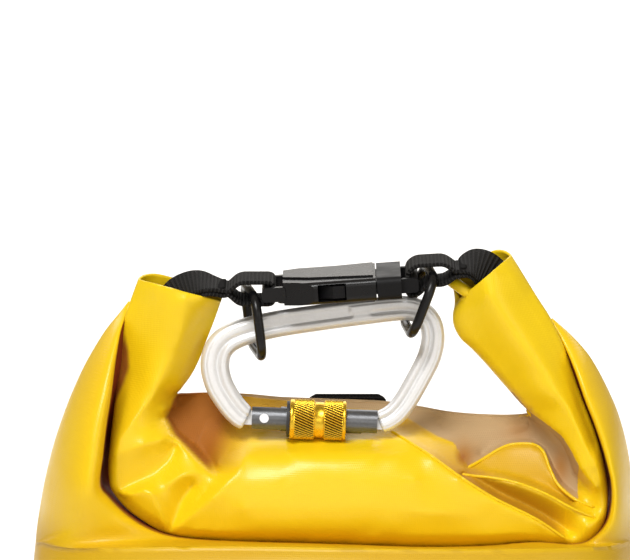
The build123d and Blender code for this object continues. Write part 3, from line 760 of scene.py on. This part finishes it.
BOX_FACES = [(0, 1, 3, 2), (4, 6, 7, 5), (0, 4, 5, 1), (2, 3, 7, 6), (0, 2, 6, 4), (1, 5, 7, 3)]


def gate_box(name, a0, a1, b0, b1, half):
    """A box in the gate's frame, half deep each side of the carabiner's plane."""
    corners = [by_gate(a, b, d) for a in (a0, a1) for b in (b0, b1) for d in (-half, half)]
    return face_out(mesh_object(name, corners, BOX_FACES, smooth=False))


def carabiner_body():
    """The forged rod with its channel, panel and plate, and the tongue and nose that the gate meets."""
    step = 0.6
    line = even(catmull(ROD, 16), step)
    along = unit(np.gradient(line[:, :2], axis=0))
    outward = np.stack([-along[:, 1], along[:, 0]], -1)
    rows = len(line)
    ends = np.minimum(np.arange(rows), np.arange(rows)[::-1]) * step
    scale = 0.80 + 0.20 * round_edge(ends, 1.6)
    spine = line[:, 1] > 90
    panel = smooth((line[:, 0] + 31) / 4) * smooth((9.5 - line[:, 0]) / 2.5) * spine
    plate = smooth((line[:, 0] - 7.5) / 2.5) * smooth((20 - line[:, 0]) / 4) * spine
    q = -np.cos(np.linspace(0, math.pi, 47))
    ring = []
    for side in (1, -1):
        for value in q[::side][:-1]:
            off = value * line[:, 2] / 2 * scale
            depth = side * rod_face(value, panel, plate) * scale
            ring.append(on_plane(line[:, 0] + outward[:, 0] * off, line[:, 1] + outward[:, 1] * off, depth))
    points = np.array(ring).transpose(1, 0, 2)
    body = face_out(mesh_object("carabiner_rod", points, tube_faces(rows, points.shape[1])))
    join(body, gate_box("hinge_tongue", -12, 0, -3.2, 3.2, 2))
    length = math.dist(RIVET, GATE_TIP)
    join(body, gate_box("gate_nose", length - 6.5, length + 4, -3.2, 3.0, 2))
    return body


def turned(name, profile, around, ridge):
    """A piece turned on the gate's axis from its profile of distance and radius, with ridges on it."""
    profile = np.asarray(profile, float)
    turn = np.linspace(0, 2 * math.pi, around, endpoint=False)
    x = profile[:, 0][:, None]
    r = profile[:, 1][:, None] + ridge(x, turn[None])
    points = by_gate(SLEEVE_START + x + 0 * turn, r * np.cos(turn), r * np.sin(turn))
    faces = grid_faces(len(profile), around, wrap_rows=True, wrap_cols=True)
    return face_out(mesh_object(name, points, faces))


KNURL_BANDS = ((2.0, 11.0), (15.65, 24.0))      # where the ridges start and end along the sleeve, mm
KNURL_RIDGES, KNURL_STEPS = 44, 396     # ridges round the sleeve, and mesh steps, nine to a ridge


def knurl(x, turn):
    """How far the slanted ridges stand off the sleeve, x along it and turn round it."""
    band = sum(smooth((x - start) / 0.3) * smooth((end - x) / 0.3) for start, end in KNURL_BANDS)
    phase = turn * KNURL_RIDGES / (2 * math.pi) - x / 3.0
    return band * (0.20 - 0.60 * np.abs(2 * (phase % 1) - 1))


def lock_sleeve():
    """The knurled sleeve: two bands of slanted ridges with a plain waist between them."""
    profile = [(1.5, 5.7), (1.5, 7.5), (0.05, 7.6), (0.0, 8.6), (0.15, 8.95), (0.45, 9.1), (1.75, 9.1),
               (1.95, 8.85)]
    profile += [(x, 8.95) for x in np.arange(2.1, 11.0, 0.24)]
    profile += [(11.1, 8.9), (11.35, 8.35), (11.7, 8.2), (15.1, 8.2), (15.4, 8.35), (15.6, 8.9)]
    profile += [(x, 8.95) for x in np.arange(15.75, 23.9, 0.24)]
    profile += [(24.05, 8.85), (24.2, 9.1), (25.1, 9.1), (25.4, 8.95), (25.5, 8.6), (25.45, 7.6),
                (9.2, 7.5), (9.0, 5.7)]
    sleeve = turned("lock_sleeve_knurled", profile, KNURL_STEPS, knurl)
    x = np.array(profile)[:, 0][:, None]
    turn = np.linspace(0, 2 * math.pi, KNURL_STEPS, endpoint=False)[None]
    # painted shade down in the grooves between the ridges
    paint(sleeve, smooth(-knurl(x, turn) / 0.22).ravel())
    return sleeve


# ---- materials ------------
class Nodes:
    """A material's node tree, wired with few words."""

    def __init__(self, name, **sockets):
        self.material = bpy.data.materials.new(name)
        self.material.use_nodes = True
        self.tree = self.material.node_tree
        self.shader = self.tree.nodes["Principled BSDF"]
        for key, value in sockets.items():
            self.shader.inputs[key.replace("_", " ")].default_value = value

    def node(self, kind, inputs=None, **settings):
        node = self.tree.nodes.new("ShaderNode" + kind)
        for key, value in settings.items():
            setattr(node, key, value)
        for key, value in (inputs or {}).items():
            if isinstance(value, bpy.types.NodeSocket):
                self.tree.links.new(value, node.inputs[key])
            else:
                node.inputs[key].default_value = value
        return node

    def add(self, kind, inputs=None, **settings):
        """The first output of a new node."""
        return self.node(kind, inputs, **settings).outputs[0]

    def painted(self, name):
        """What paint() stored under a name."""
        return self.node("Attribute", attribute_name=name).outputs["Fac"]

    def math(self, operation, a, b=0.0, c=0.0):
        return self.add("Math", {0: a, 1: b, 2: c}, operation=operation)

    def to(self, socket, value):
        self.tree.links.new(value, self.shader.inputs[socket])
        return self

    def place(self, scale=(1, 1, 1), angle=(0, 0, 0)):
        where = self.node("TexCoord").outputs["Object"]
        return self.add("Mapping", {"Vector": where, "Scale": scale, "Rotation": angle})

    def noise(self, where, scale, detail=3.0, roughness=0.55):
        settings = {"Vector": where, "Scale": scale, "Detail": detail, "Roughness": roughness}
        return self.add("TexNoise", settings)

    def range(self, value, low, high, to_low, to_high):
        ends = {"From Min": low, "From Max": high, "To Min": to_low, "To Max": to_high}
        return self.add("MapRange", {"Value": value, **ends})

    def mix(self, factor, a, b):
        node = self.tree.nodes.new("ShaderNodeMix")
        node.data_type = "RGBA"
        for key, value in ((0, factor), (6, a), (7, b)):
            if isinstance(value, bpy.types.NodeSocket):
                self.tree.links.new(value, node.inputs[key])
            else:
                node.inputs[key].default_value = value
        return node.outputs[2]

    def bump(self, relief, strength, distance):
        normal = self.add("Bump", {"Height": relief, "Strength": strength, "Distance": distance})
        return self.to("Normal", normal)


def rgb(r, g, b):
    return (r, g, b, 1.0)


def scrim(n, where, pitch):
    """The weave that shows through a coating: two sets of threads, pitch in mm."""
    k = 2 * math.pi / (pitch / 1000)
    out = n.node("SeparateXYZ", {0: where}).outputs
    across = n.math("ADD", out[0], n.math("MULTIPLY", out[1], 0.6))
    warp = n.math("SINE", n.math("MULTIPLY", across, k))
    weft = n.math("SINE", n.math("MULTIPLY", out[2], k))
    return n.math("MULTIPLY", n.math("ADD", warp, weft), 0.25)


def coated_fabric(name, bright, deep, shadow, roughness=0.34):
    n = Nodes(name, Roughness=roughness, Coat_Weight=0.25, Coat_Roughness=0.2, IOR=1.5,
              Specular_IOR_Level=0.32)
    where = n.place()
    cloud = n.noise(where, 14.0, 4.0)
    base = n.mix(n.range(cloud, 0.35, 0.7, 0.0, 1.0), rgb(*bright), rgb(*deep))
    # painted shade turns the colour to the shadow colour, or to a pale tan over the lining, with less coat
    # and rougher
    shaded_lining_tan = rgb(0.47, 0.325, 0.20)
    deepest = n.mix(n.painted("shaded_lining"), rgb(*shadow), shaded_lining_tan)
    shade = n.painted("shade")
    n.to("Base Color", n.mix(shade, base, deepest))
    n.to("Coat Weight", n.math("MULTIPLY", n.math("SUBTRACT", 1.0, shade), 0.16))
    gloss = n.range(n.noise(where, 55.0, 5.0), 0.3, 0.7, roughness - 0.05, roughness + 0.07)
    n.to("Roughness", n.math("ADD", gloss, n.math("MULTIPLY", shade, 0.35)))
    weave = scrim(n, where, 0.95)
    rough = n.math("MULTIPLY", n.noise(where, 420.0, 2.0), 0.5)
    dents = n.math("MULTIPLY", n.noise(where, 30.0, 3.0), 4.0)
    n.bump(n.math("ADD", n.math("ADD", weave, rough), dents), 0.17, 0.0004)
    return n.material


def plain(name, colour, roughness, metallic=0.0, grain=300.0, bump=0.1, fade=0.82, **sockets):
    """A material of one colour, in small grains that fade to a darker shade of it."""
    n = Nodes(name, Metallic=metallic, Roughness=roughness, **sockets)
    where = n.place()
    grains = n.noise(where, grain, 4.0)
    dark = tuple(c * fade for c in colour)
    n.to("Base Color", n.mix(n.range(grains, 0.3, 0.7, 0.0, 1.0), rgb(*colour), rgb(*dark)))
    n.to("Roughness", n.range(n.noise(where, 60.0), 0.3, 0.7, roughness * 0.85, min(1.0, roughness * 1.2)))
    n.bump(grains, bump, 0.0002)
    return n.material


def knurled_gold():
    """Gold anodising, with painted shade down in the knurl's grooves."""
    n = Nodes("gold_anodised", Metallic=0.9)
    shade = n.painted("shade")
    where = n.place()
    gold = n.mix(n.noise(where, 60.0), rgb(0.93, 0.60, 0.045), rgb(0.84, 0.52, 0.035))
    n.to("Base Color", n.mix(shade, gold, rgb(0.05, 0.022, 0.003)))
    n.to("Roughness", n.range(n.noise(where, 900.0), 0.3, 0.7, 0.22, 0.34))
    return n.material


def webbing_material():
    """Black webbing with ribs across it and cells along them, from its own length and width."""
    n = Nodes("webbing", Roughness=0.78, IOR=1.45, Specular_IOR_Level=0.22)
    where = n.place()
    grains = n.noise(where, 900.0, 2.0)
    uv = n.add("UVMap")
    out = n.node("SeparateXYZ", {0: uv}).outputs
    rib = n.math("SINE", n.math("MULTIPLY", out[0], 2 * math.pi / 1.7))
    cell = n.math("SINE", n.math("MULTIPLY", out[1], 2 * math.pi / 1.5))
    crossed = n.math("MULTIPLY", n.math("MULTIPLY", rib, cell), 0.25)
    weave = n.math("ADD", n.math("MULTIPLY", rib, 0.5), crossed)
    # painted sheen: the ribs' crests lighter than the grooves between them, with a little random grain
    rib_sheen_and_grain = n.math("ADD", n.range(weave, -0.7, 0.7, 0.0, 0.75), n.math("MULTIPLY", grains, 0.25))
    n.to("Base Color", n.mix(rib_sheen_and_grain, rgb(0.0015, 0.0015, 0.0017), rgb(0.030, 0.029, 0.029)))
    n.bump(n.math("ADD", weave, n.math("MULTIPLY", grains, 0.3)), 1.0, 0.0008)
    return n.material


def set_material(obj, material):
    obj.data.materials.clear()
    obj.data.materials.append(material)


# ---- light, floor, camera ------------
def area_light(name, place, aim, size, power, colour=(1, 1, 1)):
    data = bpy.data.lights.new(name, "AREA")
    data.shape = "RECTANGLE"
    data.size, data.size_y = size
    data.energy = power
    data.color = colour
    obj = bpy.data.objects.new(name, data)
    obj.location = place
    obj.rotation_euler = (Vector(aim) - Vector(place)).to_track_quat("-Z", "Y").to_euler()
    bpy.context.scene.collection.objects.link(obj)


def studio():
    corners = [(-12, -12, 0), (12, -12, 0), (12, 12, 0), (-12, 12, 0)]
    floor = mesh_object("studio_floor", corners, [(0, 1, 2, 3)])
    n = Nodes("floor_paper", Roughness=0.9)
    n.to("Base Color", n.mix(n.noise(n.place(), 3.0), rgb(0.9, 0.9, 0.9), rgb(0.88, 0.88, 0.88)))
    set_material(floor, n.material)
    world = bpy.data.worlds.new("studio")
    world.use_nodes = True
    background = world.node_tree.nodes["Background"]
    background.inputs["Color"].default_value = (1.0, 0.86, 0.66, 1)
    background.inputs["Strength"].default_value = 0.34
    bpy.context.scene.world = world
    aim = (0, 0, 0.42)
    area_light("key", (-0.45, -1.15, 2.0), aim, (0.8, 0.7), 31)
    area_light("fill", (1.7, -1.6, 0.8), aim, (0.9, 1.4), 6)
    area_light("front", (0, -4.6, 1.45), aim, (3.4, 1.6), 24)
    area_light("backdrop", (0, 3.4, 1.7), (0, 3.4, 0), (4.0, 4.5), 110)
    bpy.context.scene.view_settings.view_transform = "Standard"


def camera():
    """A camera whose picture, 630 pixels wide, shows 2.2 pixels to the millimetre."""
    picture = 630 / 2.2 / 1000
    data = bpy.data.cameras.new("camera")
    data.sensor_width = 36
    far = 3.2
    data.lens = data.sensor_width * far / picture
    obj = bpy.data.objects.new("camera", data)
    aim = Vector((-0.0077, -0.018, 0.4876))
    obj.location = aim + far * Vector((0, -COS10, SIN10))
    obj.rotation_euler = (aim - obj.location).to_track_quat("-Z", "Y").to_euler()
    bpy.context.scene.collection.objects.link(obj)
    bpy.context.scene.camera = obj


def main():
    yellow = coated_fabric("yellow_pvc", (0.91, 0.645, 0.007), (0.89, 0.595, 0.006), (0.37, 0.125, 0.010))
    # the bag skin's yellow, with a dark red-brown for the shade painted in its recess and low by the crease
    bag_yellow = coated_fabric("yellow_pvc_recess_shade", (0.91, 0.62, 0.008), (0.88, 0.565, 0.007),
                               (0.22, 0.035, 0.004))
    black_fabric = plain("black_pvc", (0.03, 0.03, 0.033), 0.5)
    matt = plain("moulded_plastic_matt", (0.005, 0.005, 0.006), 0.5, grain=700.0, bump=0.05,
                 Specular_IOR_Level=0.2)
    plastic = plain("moulded_plastic", (0.006, 0.006, 0.007), 0.27, grain=700.0, bump=0.05,
                    Specular_IOR_Level=0.32)
    steel = plain("polished_steel", (0.75, 0.75, 0.76), 0.18, 1.0)
    silver = plain("satin_aluminium", (0.83, 0.835, 0.85), 0.38, 0.35, grain=900.0, bump=0.02, fade=0.95)
    gold = knurled_gold()
    grey = plain("grey_anodised", (0.17, 0.175, 0.185), 0.34, 0.8, grain=900.0, bump=0.03)
    web = webbing_material()
    coats = {
        "base_panel": black_fabric, "base_skirt": black_fabric, "back_tab": black_fabric,
        "side_seam_strip": yellow, "buckle_female": plastic, "buckle_male": matt,
        "latch_arm_front": matt, "latch_arm_rear": matt, "ring_left": plastic, "ring_right": plastic,
        "carabiner_body": silver, "carabiner_gate": grey, "gate_rivet": steel, "gate_spring": steel,
        "spring_plunger": steel, "lock_sleeve": gold, "sleeve_ring": black_fabric, "strap_left": web,
        "strap_right": web, "bar_tack_left": web, "bar_tack_right": web, "mouth_stiffener": plastic,
        "mouth_webbing": web, "collar_inner_turns": yellow,
    }
    for name, material in coats.items():
        set_material(NODES[name], material)
    soft = [
        (rolled_collar(), yellow, "yellow_coated_fabric",
         ("rolled_collar", "collar_inner_turns", "mouth_stiffener", "mouth_webbing")),
        (bag_skin(), bag_yellow, "yellow_coated_fabric", ("bag_shoulder", "bag_wall")),
        (seam_strip(), yellow, "yellow_coated_fabric", ("side_seam_strip",)),
        (base_skirt(), black_fabric, "black_coated_fabric", ("base_skirt",)),
        (base_panel(), black_fabric, "black_coated_fabric", ("base_panel",)),
        (back_tab(), web, "black_coated_fabric", ("back_tab",)),
        (strap("strap_left_web", LEFT_LEAD, LEFT_LOOP), web, "black_webbing", ("strap_left",)),
        (strap("strap_right_web", RIGHT_LEAD, RIGHT_LOOP), web, "black_webbing", ("strap_right",)),
        (bar_tack("bar_tack_left_thread", -50.0, 116.0), web, "thread", ("bar_tack_left",)),
        (bar_tack("bar_tack_right_thread", 59.5, 125.2), web, "thread", ("bar_tack_right",)),
    ]
    for piece, material, slot, nodes in soft:
        set_material(piece, material)
        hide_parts(*nodes)
        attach(piece, "bag")
    for piece, material, slot, node, body in (
            (carabiner_body(), silver, "satin_aluminium", "carabiner_body", "carabiner"),
            (lock_sleeve(), gold, "gold_anodised", "lock_sleeve", "sleeve")):
        set_material(piece, material)
        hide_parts(node)
        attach(piece, body)
    studio()
    camera()


main()
